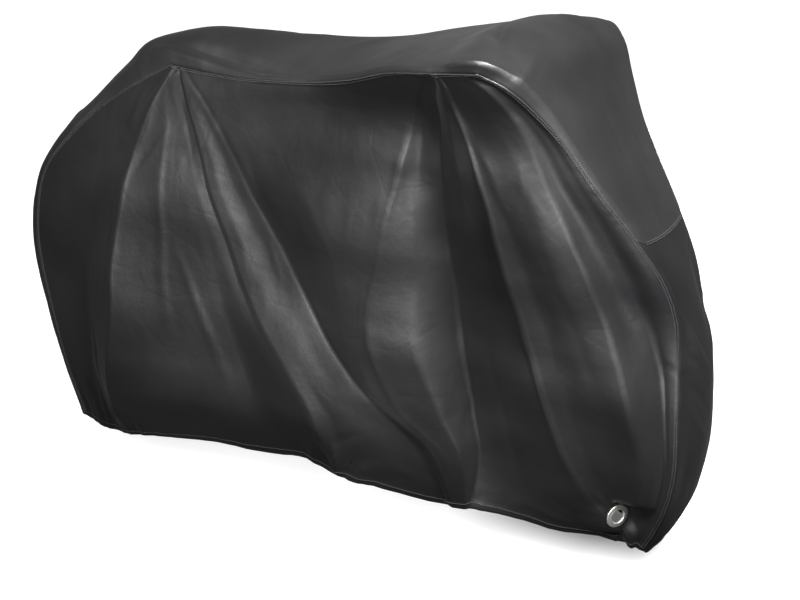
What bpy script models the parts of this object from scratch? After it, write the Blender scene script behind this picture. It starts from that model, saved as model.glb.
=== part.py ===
# A fitted cover for one bicycle, as it hangs over the machine: two side panels of coated polyester,
# a centre gusset over the back, top and front, a front gusset below the cross seam, and two eyelets.
#
# X runs to the bicycle's front, Y to its left, Z up. The tables give heights above the floor that the
# bicycle stands on; the finished pieces are lowered by TOP_HEIGHT, so that the origin lies under the top.

import math

import bmesh
import bpy
import numpy as np
from mathutils import Matrix, Vector

# Driving dimensions, in metres
TOP_HEIGHT = 1.060          # underside of the top above the floor, over the bicycle's middle
CLOTH = 0.002               # thickness of the coated cloth
SEAM_GAP = 0.0008           # clearance that the sewn pieces keep between their faces
EYELET_RADIUS = 0.0250      # outer radius of the eyelet's flange
EYELET_BORE = 0.0145        # radius of the hole that a lock passes
EYELET_BARREL = 0.0165      # radius of the barrel that goes through the cloth
EYELET_PLATE = 0.0022       # thickness of each flange
EYELET_PLACE = (0.676, -0.078, 0.168)   # centre, on the cloth's outer face
EYELET_AZIMUTH = math.radians(54)       # way that the eyelet faces, turned from -Y towards +X
EYELET_RISE = math.radians(-4)
EYELET_STEPS = 20
FLAT_INNER = 0.047          # the cloth is flat this far around an eyelet ...
FLAT_OUTER = 0.070          # ... and free of it from here on
FLAT_DEPTH = 0.4            # share of a point's height over the eyelet's plane that counts as distance
SEAM_REACH = 0.036          # the cloth this near the front seam hangs from the seam

# The gusset's sections, from the rear hem up the back, along the top and down the front.
# centre: middle of the strip; edge: where it bends over; seam: where the side panel is sewn on.
# fullness: how square the section is between middle and edge, 2 for a plain arch.
OUTLINE_COLUMNS = ("place", "centre_x", "centre_z", "edge_x", "edge_y", "edge_z",
                   "seam_x", "seam_y", "seam_z", "fullness")
OUTLINE = (
    ("rear hem", -0.765, 0.070, -0.735, 0.036, 0.078, -0.705, 0.062, 0.092, 2.0),
    ("rear tyre, low", -0.815, 0.205, -0.772, 0.046, 0.215, -0.742, 0.078, 0.235, 2.0),
    ("rear tyre", -0.850, 0.340, -0.806, 0.046, 0.350, -0.772, 0.080, 0.370, 2.0),
    ("mudguard", -0.873, 0.560, -0.828, 0.046, 0.570, -0.792, 0.082, 0.585, 2.0),
    ("slope, foot", -0.835, 0.693, -0.788, 0.050, 0.700, -0.752, 0.085, 0.715, 2.0),
    ("slope", -0.733, 0.813, -0.682, 0.056, 0.814, -0.655, 0.088, 0.812, 2.0),
    ("slope, middle", -0.633, 0.894, -0.584, 0.062, 0.892, -0.556, 0.092, 0.886, 2.0),
    ("slope, top", -0.530, 0.975, -0.490, 0.072, 0.968, -0.450, 0.098, 0.945, 2.0),
    ("rear corner", -0.444, 1.033, -0.372, 0.088, 1.026, -0.354, 0.100, 0.992, 2.2),
    ("saddle, rear", -0.330, 1.060, -0.300, 0.100, 1.022, -0.294, 0.106, 0.986, 2.0),
    ("saddle, nose", -0.200, 1.064, -0.200, 0.112, 1.004, -0.196, 0.118, 0.980, 1.8),
    ("top, rear", -0.070, 1.062, -0.070, 0.136, 0.996, -0.070, 0.140, 0.985, 1.7),
    ("top, middle", 0.045, 1.062, 0.045, 0.158, 1.004, 0.045, 0.162, 0.995, 1.7),
    ("top, front", 0.140, 1.068, 0.140, 0.190, 1.022, 0.140, 0.196, 1.012, 1.9),
    ("behind the levers", 0.245, 1.088, 0.250, 0.236, 1.050, 0.252, 0.242, 1.040, 2.2),
    ("brake levers", 0.350, 1.104, 0.350, 0.282, 1.062, 0.350, 0.286, 1.052, 2.4),
    ("grips", 0.445, 1.112, 0.476, 0.320, 1.083, 0.460, 0.316, 1.062, 2.6),
    ("before the grips", 0.508, 1.078, 0.514, 0.282, 1.058, 0.500, 0.292, 1.040, 2.4),
    ("shoulder", 0.552, 1.000, 0.558, 0.222, 0.996, 0.545, 0.240, 0.985, 2.0),
    ("shoulder, low", 0.600, 0.918, 0.597, 0.184, 0.922, 0.583, 0.205, 0.930, 2.0),
    ("head tube", 0.652, 0.836, 0.647, 0.152, 0.840, 0.632, 0.175, 0.852, 2.0),
    ("cross seam", 0.715, 0.735, 0.710, 0.106, 0.740, 0.700, 0.132, 0.752, 2.0),
    ("above the tyre", 0.762, 0.650, 0.752, 0.070, 0.650, 0.750, 0.098, 0.664, 2.0),
    ("tyre, top", 0.792, 0.580, 0.780, 0.058, 0.580, 0.770, 0.084, 0.600, 2.0),
    ("tyre, front", 0.815, 0.500, 0.800, 0.062, 0.500, 0.782, 0.095, 0.510, 2.0),
    ("axle height", 0.824, 0.400, 0.806, 0.075, 0.400, 0.793, 0.114, 0.408, 2.0),
    ("tyre, low", 0.820, 0.300, 0.803, 0.075, 0.300, 0.796, 0.112, 0.300, 2.0),
    ("under the tyre", 0.797, 0.190, 0.786, 0.060, 0.195, 0.776, 0.088, 0.205, 2.0),
    ("front tuck", 0.757, 0.115, 0.755, 0.045, 0.122, 0.748, 0.058, 0.135, 2.0),
    ("front hem", 0.722, 0.066, 0.722, 0.022, 0.070, 0.720, 0.035, 0.080, 2.0),
)

# Folds of the gusset, each a line from one place on the strip to another. along: 0 at the rear hem and
# 1 at the front hem; across: -1 at the near edge and 1 at the far edge; reach: how far the fold spreads
# to either side; rise: how far the cloth stands out (+) or in (-) on the line.
GUSSET_FOLD_COLUMNS = ("fold", "from_along", "from_across", "to_along", "to_across", "reach", "rise")
GUSSET_FOLDS = (
    ("rear tuck", 0.275, -0.95, 0.352, -0.40, 0.050, -0.009),
    ("peak valley", 0.356, -0.90, 0.425, -1.00, 0.050, -0.010),
    ("far peak valley", 0.356, 0.85, 0.410, 0.95, 0.050, -0.008),
    ("saddle crease", 0.415, -0.55, 0.520, -0.88, 0.045, -0.006),
    ("bar hollow", 0.600, -0.30, 0.636, -0.85, 0.070, -0.014),
    ("far bar hollow", 0.595, 0.45, 0.630, 0.88, 0.060, -0.010),
    ("chest hollow", 0.665, 0.10, 0.735, -0.10, 0.090, -0.010),
    ("tyre ridge", 0.790, -0.85, 0.868, 0.15, 0.050, 0.008),
    ("mudguard hollow", 0.170, 0.30, 0.230, -0.30, 0.060, -0.007),
)

# The side panel's elastic hem, rear to front
HEM_COLUMNS = ("x", "y", "z")
HEM = (
    (-0.705, 0.062, 0.092),
    (-0.629, 0.085, 0.087),
    (-0.563, 0.100, 0.094),
    (-0.401, 0.120, 0.124),
    (-0.245, 0.140, 0.154),
    (-0.133, 0.160, 0.168),
    (-0.057, 0.175, 0.182),
    (0.016, 0.185, 0.193),
    (0.083, 0.190, 0.175),
    (0.187, 0.180, 0.161),
    (0.316, 0.150, 0.137),
    (0.388, 0.130, 0.132),
    (0.478, 0.100, 0.117),
    (0.560, 0.080, 0.105),
    (0.640, 0.055, 0.104),
    (0.720, 0.035, 0.080),
)

# Folds of a side panel, rear to front, each a line from the top seam to the hem.
# at_...: place along the panel, 0 at the rear seam and 1 at the front seam, at five depths below
# the top seam; out_...: how far the cloth stands out (+) or in (-) there, in metres.
# crisp: 1 for a crease, 0 for a soft roll. cuts: columns of faces up to this line.
FOLD_DEPTHS = (0.0, 0.2, 0.5, 0.8, 1.0)
FOLD_COLUMNS = ("fold", "at_top", "at_upper", "at_middle", "at_lower", "at_hem",
                "out_upper", "out_middle", "out_lower", "crisp", "cuts")
NEAR_FOLDS = (
    ("rear tuck", 0.010, 0.055, 0.080, 0.069, 0.035, 0.005, 0.014, 0.005, 0.5, 2),
    ("rear flank", 0.020, 0.154, 0.208, 0.135, 0.105, 0.034, 0.087, 0.053, 0.9, 2),
    ("saddle cone", 0.030, 0.188, 0.268, 0.215, 0.165, 0.026, 0.070, 0.063, 0.3, 2),
    ("cone edge", 0.040, 0.214, 0.334, 0.390, 0.450, 0.021, 0.050, 0.030, 0.7, 2),
    ("stay crease", 0.050, 0.230, 0.360, 0.443, 0.560, 0.021, 0.036, 0.009, 1.0, 2),
    ("pedal fold", 0.060, 0.245, 0.387, 0.492, 0.572, 0.019, 0.034, 0.018, 1.0, 1),
    ("pedal slope", 0.070, 0.269, 0.433, 0.540, 0.620, 0.014, 0.011, -0.015, 0.4, 2),
    ("pedal fold, foot", 0.080, 0.297, 0.474, 0.590, 0.735, 0.013, 0.036, -0.037, 0.8, 3),
    ("belly", 0.140, 0.390, 0.523, 0.616, 0.745, 0.018, 0.056, -0.016, 0.4, 2),
    ("lever drape", 0.846, 0.719, 0.612, 0.638, 0.755, 0.013, 0.058, -0.015, 0.7, 2),
    ("drape, fall", 0.862, 0.758, 0.691, 0.706, 0.765, 0.003, 0.032, -0.015, 0.4, 2),
    ("lever valley", 0.876, 0.778, 0.721, 0.727, 0.766, 0.019, -0.008, -0.054, 0.9, 2),
    ("wheel shade", 0.884, 0.788, 0.749, 0.780, 0.815, 0.013, 0.008, -0.044, 0.5, 2),
    ("grip flank", 0.894, 0.851, 0.810, 0.867, 0.945, 0.036, 0.060, 0.010, 0.9, 3),
    ("grip cone", 0.926, 0.905, 0.860, 0.900, 0.963, 0.032, 0.052, 0.010, 0.5, 2),
    ("grip shoulder", 0.948, 0.935, 0.905, 0.948, 0.966, 0.020, 0.066, 0.014, 0.5, 2),
    ("shoulder valley", 0.970, 0.974, 0.962, 0.966, 0.976, -0.008, 0.012, -0.006, 0.8, 1),
    ("front ridge", 0.986, 0.987, 0.985, 0.988, 0.990, 0.002, 0.014, 0.000, 1.0, 1),
)
FAR_FOLDS = (
    ("rear tuck", 0.012, 0.060, 0.120, 0.110, 0.085, 0.008, 0.010, -0.004, 0.4, 2),
    ("rear flank", 0.024, 0.120, 0.190, 0.170, 0.150, 0.030, 0.030, 0.012, 0.5, 2),
    ("saddle cone", 0.036, 0.170, 0.270, 0.270, 0.260, 0.036, 0.034, 0.014, 0.2, 2),
    ("stay crease", 0.050, 0.200, 0.340, 0.400, 0.440, 0.020, 0.006, -0.012, 0.9, 2),
    ("pedal fold", 0.066, 0.235, 0.390, 0.460, 0.520, 0.032, 0.026, 0.008, 0.7, 2),
    ("pedal fold, foot", 0.084, 0.280, 0.450, 0.540, 0.600, 0.014, -0.006, -0.014, 0.7, 3),
    ("belly", 0.500, 0.520, 0.560, 0.630, 0.680, 0.010, 0.004, -0.004, 0.2, 4),
    ("lever drape", 0.800, 0.740, 0.670, 0.700, 0.740, 0.012, 0.008, 0.002, 0.3, 4),
    ("lever valley", 0.842, 0.790, 0.740, 0.760, 0.790, -0.010, -0.018, -0.020, 0.9, 2),
    ("grip flank", 0.876, 0.850, 0.820, 0.850, 0.900, 0.022, 0.022, 0.008, 0.8, 3),
    ("grip cone", 0.920, 0.915, 0.870, 0.880, 0.925, 0.030, 0.032, 0.008, 0.5, 2),
    ("grip shoulder", 0.948, 0.946, 0.920, 0.946, 0.960, 0.020, 0.034, 0.010, 0.5, 3),
    ("shoulder valley", 0.970, 0.966, 0.955, 0.967, 0.976, -0.010, 0.004, 0.000, 0.7, 2),
    ("front ridge", 0.986, 0.986, 0.985, 0.988, 0.990, 0.004, 0.012, 0.000, 0.9, 2),
)
LAST_CUTS = 2               # columns of faces between the front ridge and the front seam

# Depths of the panel's rows of faces, closer together near the top seam and at the hem
ROWS = (0.0, 0.035, 0.08, 0.13, 0.19, 0.25, 0.32, 0.39, 0.46, 0.53, 0.60,
        0.67, 0.74, 0.80, 0.85, 0.88, 0.904, 0.93, 0.96, 0.98, 1.0)
# Places across the gusset, -1 at the near edge and 1 at the far edge
GUSSET_ACROSS = (-1.0, -0.75, -0.38, 0.0, 0.38, 0.75, 1.0)


def column(table, names, name):
    """One named column of a table, as numbers."""
    return np.array([row[names.index(name)] for row in table], float)


def spline(knots, values, where):
    """Smooth curve through values at uneven knots, read at the places asked for."""
    step = np.diff(knots)
    slope = np.diff(values, axis=0) / step[:, None]
    share = (step[:-1] / (step[:-1] + step[1:]))[:, None]
    tangent = np.concatenate([slope[:1], slope[:-1] * (1 - share) + slope[1:] * share, slope[-1:]])
    part = np.clip(np.searchsorted(knots, where, side="right") - 1, 0, len(step) - 1)
    return hermite(knots, values, tangent, tangent, part, where)


def hermite(knots, values, leaving, arriving, part, where):
    """Cubic between neighbouring knots, with a slope leaving one and a slope arriving at the next."""
    step = (knots[part + 1] - knots[part])[..., None]
    f = ((where - knots[part])[..., None]) / step
    return ((2 * f**3 - 3 * f**2 + 1) * values[part] + (f**3 - 2 * f**2 + f) * step * leaving[part]
            + (3 * f**2 - 2 * f**3) * values[part + 1] + (f**3 - f**2) * step * arriving[part + 1])


def fold_profile(knots, values, crisp, part, where):
    """Height between fold lines: rounded at a soft fold, creased at a crisp one, never overshooting."""
    slope = np.diff(values) / np.diff(knots)
    before, after = slope[:-1], slope[1:]
    both = before * after
    soft = np.where(both > 0, 2 * both / np.where(both > 0, before + after, 1), 0)
    leaving = np.concatenate([slope[:1], soft + (after - soft) * crisp[1:-1], slope[-1:]])
    arriving = np.concatenate([slope[:1], soft + (before - soft) * crisp[1:-1], slope[-1:]])
    return hermite(knots, values[:, None], leaving[:, None], arriving[:, None], part, where)[:, 0]


class Outline:
    """The gusset's strip and the seam that it shares with a side panel."""

    def __init__(self):
        read = {name: column(OUTLINE, OUTLINE_COLUMNS, name) for name in OUTLINE_COLUMNS[1:]}
        places = [row[0] for row in OUTLINE]
        self.seam_points = np.stack([read["seam_x"], -read["seam_y"], read["seam_z"]], 1)
        self.strip = np.stack([read["centre_x"], read["centre_z"], read["edge_x"], read["edge_y"],
                               read["edge_z"], read["fullness"]], 1)
        run = np.linalg.norm(np.diff(self.seam_points, axis=0), axis=1)
        self.length = run.sum()
        self.knots = np.concatenate([[0], np.cumsum(run)]) / self.length
        self.corners = (0, places.index("rear corner"), places.index("grips"), len(places) - 1)
        self.rear = self.knots[self.corners[1]]
        self.grip = self.knots[self.corners[2]]
        self.cross = self.knots[places.index("cross seam")]

    def seam(self, u):
        """Near seam: three smooth runs that meet at the rear corner and at the grip."""
        u = np.asarray(u, float)
        points = np.zeros(u.shape + (3,))
        for first, last in zip(self.corners[:-1], self.corners[1:]):
            on_run = (u >= self.knots[first] - 1e-9) & (u <= self.knots[last] + 1e-9)
            points[on_run] = spline(self.knots[first:last + 1], self.seam_points[first:last + 1], u[on_run])
        return points

    def section(self, u):
        """Points across the strip at each u: near seam, arch from edge to edge, far seam."""
        strip = spline(self.knots, self.strip, u)
        near = self.seam(u)
        across = [near]
        for w in GUSSET_ACROSS:
            rise = abs(w) ** strip[:, 5]
            x = strip[:, 0] + (strip[:, 2] - strip[:, 0]) * rise
            z = strip[:, 1] + (strip[:, 4] - strip[:, 1]) * rise
            across.append(np.stack([x, strip[:, 3] * w, z], 1))
        across.append(near * (1, -1, 1))
        grid = np.stack(across, 1)
        outward = -normals(grid.transpose(1, 0, 2)).transpose(1, 0, 2)
        grid[:, 1:-1] += outward[:, 1:-1] * self.fold_rise(u, strip[:, 3])[..., None]
        return grid

    def fold_rise(self, u, half_width):
        """How far the strip's own folds stand out, for each u and each place across."""
        u, half_width = u[:, None], half_width[:, None]
        w = np.array(GUSSET_ACROSS)
        rise = np.zeros((len(u), len(w)))
        for name, from_u, from_w, to_u, to_w, reach, height in GUSSET_FOLDS:
            on_line = np.clip(u, from_u, to_u)
            line_w = from_w + (to_w - from_w) * (on_line - from_u) / (to_u - from_u)
            distance = np.hypot((u - on_line) * self.length, (w - line_w) * half_width)
            rise += height * np.clip(1 - (distance / reach)**2, 0, 1)**2
        return rise


class SidePanel:
    """A side panel: a patch between seam and hem that stands out and in along its fold lines."""

    def __init__(self, outline, folds):
        self.outline = outline
        self.hem_points = np.array(HEM) * (1, -1, 1)
        run = np.linalg.norm(np.diff(self.hem_points, axis=0), axis=1)
        self.hem_knots = np.concatenate([[0], np.cumsum(run)]) / run.sum()
        read = {name: column(folds, FOLD_COLUMNS, name) for name in FOLD_COLUMNS[1:]}
        rest = np.zeros(len(folds))
        self.at = np.stack([read[n] for n in ("at_top", "at_upper", "at_middle", "at_lower", "at_hem")])
        self.out = np.stack([rest, read["out_upper"], read["out_middle"], read["out_lower"], rest])
        self.crisp = np.concatenate([[0], read["crisp"], [0]])
        self.cuts = [int(n) for n in read["cuts"]] + [LAST_CUTS]

    def hem(self, s):
        return spline(self.hem_knots, self.hem_points, s)

    def patch(self, s, t):
        """Point of the unfolded patch, blended from its four borders."""
        line = self.outline
        near_rear = line.seam(line.rear * (1 - t))
        near_front = line.seam(line.grip + (1 - line.grip) * t)
        top = line.seam(line.rear + (line.grip - line.rear) * s)
        corners = line.seam(np.array([line.rear, line.grip, 0.0, 1.0]))
        s, t = s[:, None], t[:, None]
        return ((1 - s) * near_rear + s * near_front + (1 - t) * top + t * self.hem(s[:, 0])
                - (1 - s) * (1 - t) * corners[0] - s * (1 - t) * corners[1]
                - (1 - s) * t * corners[2] - s * t * corners[3])

    def row(self, depth):
        """Points along the panel at one depth, and their places s."""
        t = np.array([depth])
        lines = spline(np.array(FOLD_DEPTHS), self.at, t)[0]
        stand = spline(np.array(FOLD_DEPTHS), self.out, t)[0]
        knots = np.concatenate([[0], lines, [1]])
        values = np.concatenate([[0], stand, [0]])
        part = np.concatenate([np.full(n, i) for i, n in enumerate(self.cuts)] + [[len(self.cuts) - 1]])
        inner = np.concatenate([np.arange(n) / n for n in self.cuts] + [[1.0]])
        s = knots[part] + (knots[part + 1] - knots[part]) * inner
        points = self.patch(s, np.full(len(s), depth))
        points[:, 1] -= fold_profile(knots, values, self.crisp, part, s)
        return points, s

    def grid(self):
        return np.stack([self.row(depth)[0] for depth in ROWS])


def normals(grid):
    """Unit normals at the points of a grid, along rows crossed with down columns."""
    along = np.gradient(grid, axis=1)
    down = np.gradient(grid, axis=0)
    n = np.cross(down, along)
    return n / np.linalg.norm(n, axis=2, keepdims=True)


def eyelet_frame(side):
    """Centre and unit normal of an eyelet; side is -1 near, +1 far."""
    x, y, z = EYELET_PLACE
    normal = np.array([math.sin(EYELET_AZIMUTH) * math.cos(EYELET_RISE),
                       math.cos(EYELET_AZIMUTH) * math.cos(EYELET_RISE) * side, math.sin(EYELET_RISE)])
    return np.array([x, abs(y) * side, z]), normal


def ease(share):
    """Smooth step from 0 to 1."""
    share = np.clip(share, 0, 1)
    return share * share * (3 - 2 * share)


def flatten_at_eyelet(grid):
    """Draw a near panel's cloth around the eyelet onto the eyelet's plane, and leave its front seam."""
    centre, normal = eyelet_frame(-1)
    offset = grid - centre
    height = offset @ normal
    distance = np.linalg.norm(offset - height[..., None] * normal, axis=-1)
    hold = ease((FLAT_OUTER - np.hypot(distance, height * FLAT_DEPTH)) / (FLAT_OUTER - FLAT_INNER))
    hold *= ease(np.linalg.norm(grid - grid[:, -1:], axis=-1) / SEAM_REACH)
    return grid - (hold * height)[..., None] * normal


def seam_step(first, second):
    """How far a sheet stays back from the sheet that it is sewn to, so that their bodies clear."""
    bend = np.sum(first * second, axis=-1)
    turn = np.sqrt(np.clip(1 - bend**2, 0, 1))
    sharp = np.clip(-bend, 0, 0.9)
    turn = np.maximum(turn, (1 + sharp) * (bend < 0) / np.maximum(turn, 0.4))
    beside = np.concatenate([turn[:1], turn, turn[-1:]])
    return SEAM_GAP + CLOTH * np.maximum(turn, np.maximum(beside[:-2], beside[2:]))


def draw_back(edge, inner, step):
    """Move an edge's points towards the next points in by a step."""
    way = inner - edge
    return edge + way * (step / np.linalg.norm(way, axis=-1))[..., None]


def to_origin(grid):
    return grid - (0, 0, TOP_HEIGHT)


def sheet(name, grid, material, collection):
    """A sheet of cloth from a grid of points on its outer face, thickened inwards."""
    rows, columns = grid.shape[:2]
    mesh = bpy.data.meshes.new(name)
    bm = bmesh.new()
    bmesh.ops.create_grid(bm, x_segments=columns - 1, y_segments=rows - 1, size=0.5)
    for vertex in bm.verts:
        column_number = round((vertex.co.x + 0.5) * (columns - 1))
        row_number = round((0.5 - vertex.co.y) * (rows - 1))
        vertex.co = grid[row_number, column_number]
    bm.to_mesh(mesh)
    bm.free()
    piece = bpy.data.objects.new(name, mesh)
    mesh.materials.append(material)
    mesh.shade_smooth()
    collection.objects.link(piece)
    shell = piece.modifiers.new("cloth", "SOLIDIFY")
    shell.thickness = CLOTH
    shell.offset = -1
    return piece


def make_material(name, colour, roughness, metallic=0.0):
    material = bpy.data.materials.new(name)
    material.use_nodes = True
    shader = material.node_tree.nodes["Principled BSDF"]
    shader.inputs["Base Color"].default_value = (*colour, 1)
    shader.inputs["Roughness"].default_value = roughness
    shader.inputs["Metallic"].default_value = metallic
    material.diffuse_color = (*colour, 1)
    return material


def place_eyelet(piece, side):
    centre, normal = eyelet_frame(side)
    turn = Vector((0, 0, 1)).rotation_difference(Vector(normal)).to_matrix().to_4x4()
    piece.matrix_world = Matrix.Translation(Vector(to_origin(centre))) @ turn


def make_eyelet(name, side, material, collection):
    """Two flanges on a barrel, clamped on the cloth: a ring's profile turned about Z."""
    clear = 0.0004
    top = clear + EYELET_PLATE
    bottom = -CLOTH - clear - EYELET_PLATE
    bevel = EYELET_PLATE * 0.4
    profile = (
        (EYELET_RADIUS - bevel, top), (EYELET_RADIUS, top - bevel), (EYELET_RADIUS, clear),
        (EYELET_BARREL, clear), (EYELET_BARREL, -CLOTH - clear), (EYELET_RADIUS, -CLOTH - clear),
        (EYELET_RADIUS, bottom + bevel), (EYELET_RADIUS - bevel, bottom),
        (EYELET_BORE + bevel, bottom), (EYELET_BORE, bottom + bevel),
        (EYELET_BORE, top - bevel), (EYELET_BORE + bevel, top),
    )
    mesh = bpy.data.meshes.new(name)
    count = len(profile)
    mesh.from_pydata([(x, 0, z) for x, z in profile], [(i, (i + 1) % count) for i in range(count)], [])
    mesh.materials.append(material)
    ring = bpy.data.objects.new(name, mesh)
    collection.objects.link(ring)
    screw = ring.modifiers.new("turn", "SCREW")
    screw.steps = EYELET_STEPS
    screw.render_steps = EYELET_STEPS
    screw.use_merge_vertices = True
    screw.merge_threshold = 0.00005
    place_eyelet(ring, side)
    return ring


def make_hole_cutter(name, side, collection):
    """Round cutter for the hole that an eyelet's barrel goes through."""
    mesh = bpy.data.meshes.new(name)
    bm = bmesh.new()
    bmesh.ops.create_cone(bm, cap_ends=True, segments=EYELET_STEPS, depth=0.024,
                          radius1=EYELET_BARREL + SEAM_GAP, radius2=EYELET_BARREL + SEAM_GAP)
    bm.to_mesh(mesh)
    bm.free()
    cutter = bpy.data.objects.new(name, mesh)
    collection.objects.link(cutter)
    cutter.hide_render = True
    cutter.display_type = "WIRE"
    place_eyelet(cutter, side)
    return cutter


def cut(piece, cutter):
    hole = piece.modifiers.new("eyelet hole", "BOOLEAN")
    hole.operation = "DIFFERENCE"
    hole.object = cutter


def main():
    for old in list(bpy.data.objects):
        bpy.data.objects.remove(old)
    cover = bpy.data.collections.new("bicycle cover")
    cutters = bpy.data.collections.new("cutters")
    bpy.context.scene.collection.children.link(cover)
    bpy.context.scene.collection.children.link(cutters)

    side_cloth = make_material("side cloth", (0.030, 0.031, 0.033), 0.46)
    gusset_cloth = make_material("gusset cloth", (0.034, 0.035, 0.037), 0.46)
    plating = make_material("nickel plate", (0.72, 0.71, 0.68), 0.22, 1.0)

    outline = Outline()
    near = SidePanel(outline, NEAR_FOLDS)
    far = SidePanel(outline, FAR_FOLDS)
    top_places = near.row(0.0)[1]
    depths = np.array(ROWS)
    rear_run = outline.rear * (1 - depths[::-1])
    top_run = outline.rear + (outline.grip - outline.rear) * top_places
    front_run = outline.grip + (1 - outline.grip) * depths
    around = np.concatenate([rear_run[:-1], top_run, front_run[1:]])
    strip = outline.section(around)
    strip_normals = -normals(strip.transpose(1, 0, 2)).transpose(1, 0, 2)

    # The side panels stay back from the gusset's edge along the rear, the top and the front
    rows = len(ROWS)
    for name, panel, side in (("side_near", near, -1), ("side_far", far, 1)):
        grid = panel.grid()
        faces = normals(grid)
        edge_normals = strip_normals[:, 0] if side < 0 else strip_normals[:, -1] * (1, -1, 1)
        rear_step = seam_step(faces[:, 0], edge_normals[:rows][::-1])
        top_step = seam_step(faces[0], edge_normals[rows - 1:len(around) - rows + 1])
        front_step = seam_step(faces[:, -1], edge_normals[len(around) - rows:])
        grid[0] = draw_back(grid[0], grid[1], top_step)
        grid[:, 0] = draw_back(grid[:, 0], grid[:, 1], rear_step)
        grid[:, -1] = draw_back(grid[:, -1], grid[:, -2], front_step)
        grid = flatten_at_eyelet(grid)
        if side > 0:
            grid = (grid * (1, -1, 1))[:, ::-1]
        piece = sheet(name, to_origin(grid), side_cloth, cover)
        cut(piece, make_hole_cutter(name + "_hole", side, cutters))

    # The gusset is two strips that meet at the cross seam on the front
    split = int(np.argmin(np.abs(around - outline.cross)))
    for name, first, last in (("gusset_centre", 0, split), ("gusset_front", split, len(around) - 1)):
        grid = strip[first:last + 1].transpose(1, 0, 2).copy()
        if first:
            grid[:, 0] = draw_back(grid[:, 0], grid[:, 1], SEAM_GAP)
        sheet(name, to_origin(grid[::-1]), gusset_cloth, cover)

    make_eyelet("eyelet_near", -1, plating, cover)
    make_eyelet("eyelet_far", 1, plating, cover)


main()
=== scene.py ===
import math
import random

import bmesh
import bpy
import numpy as np
from mathutils import Matrix, Vector, noise


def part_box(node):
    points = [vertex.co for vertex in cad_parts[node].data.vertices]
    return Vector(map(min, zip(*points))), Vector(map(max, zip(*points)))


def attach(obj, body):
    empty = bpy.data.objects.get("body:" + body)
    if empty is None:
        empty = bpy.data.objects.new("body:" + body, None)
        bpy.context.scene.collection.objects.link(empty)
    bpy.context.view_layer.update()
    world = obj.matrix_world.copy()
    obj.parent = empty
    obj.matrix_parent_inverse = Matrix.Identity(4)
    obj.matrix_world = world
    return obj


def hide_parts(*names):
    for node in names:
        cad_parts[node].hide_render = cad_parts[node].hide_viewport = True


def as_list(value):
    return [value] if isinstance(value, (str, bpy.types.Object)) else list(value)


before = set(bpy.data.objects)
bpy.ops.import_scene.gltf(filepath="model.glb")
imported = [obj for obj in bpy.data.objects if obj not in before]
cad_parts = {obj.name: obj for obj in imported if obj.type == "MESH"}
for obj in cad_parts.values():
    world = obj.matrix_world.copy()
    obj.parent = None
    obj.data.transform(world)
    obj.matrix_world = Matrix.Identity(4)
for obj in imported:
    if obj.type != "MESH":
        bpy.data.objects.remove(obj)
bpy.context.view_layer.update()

groundDrop = 1.060  # the floor lies this far under the origin
millimetre = 0.001  # the fold and crease tables are in millimetres
print("frame loaded")


# numbers shared by the cloth pieces, in metres
cloth = {
    "thickness": 0.0016,
    "cell": 0.0062,  # spacing of the mesh on the near panel and the gusset
    "farCell": 0.0085,
    "seamLip": 0.0009,  # how far a lapped seam stands proud
    "lipWidth": 0.0080,
    "lipEdge": 0.0011,  # how softly a lap or a channel ends
    "hemDepth": 0.016,  # height of the elastic's channel
    "hemRise": 0.0012,  # how far the channel stands proud
    "calmEdge": 0.03,  # the cloth is even this near to a seam or hem
}

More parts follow.
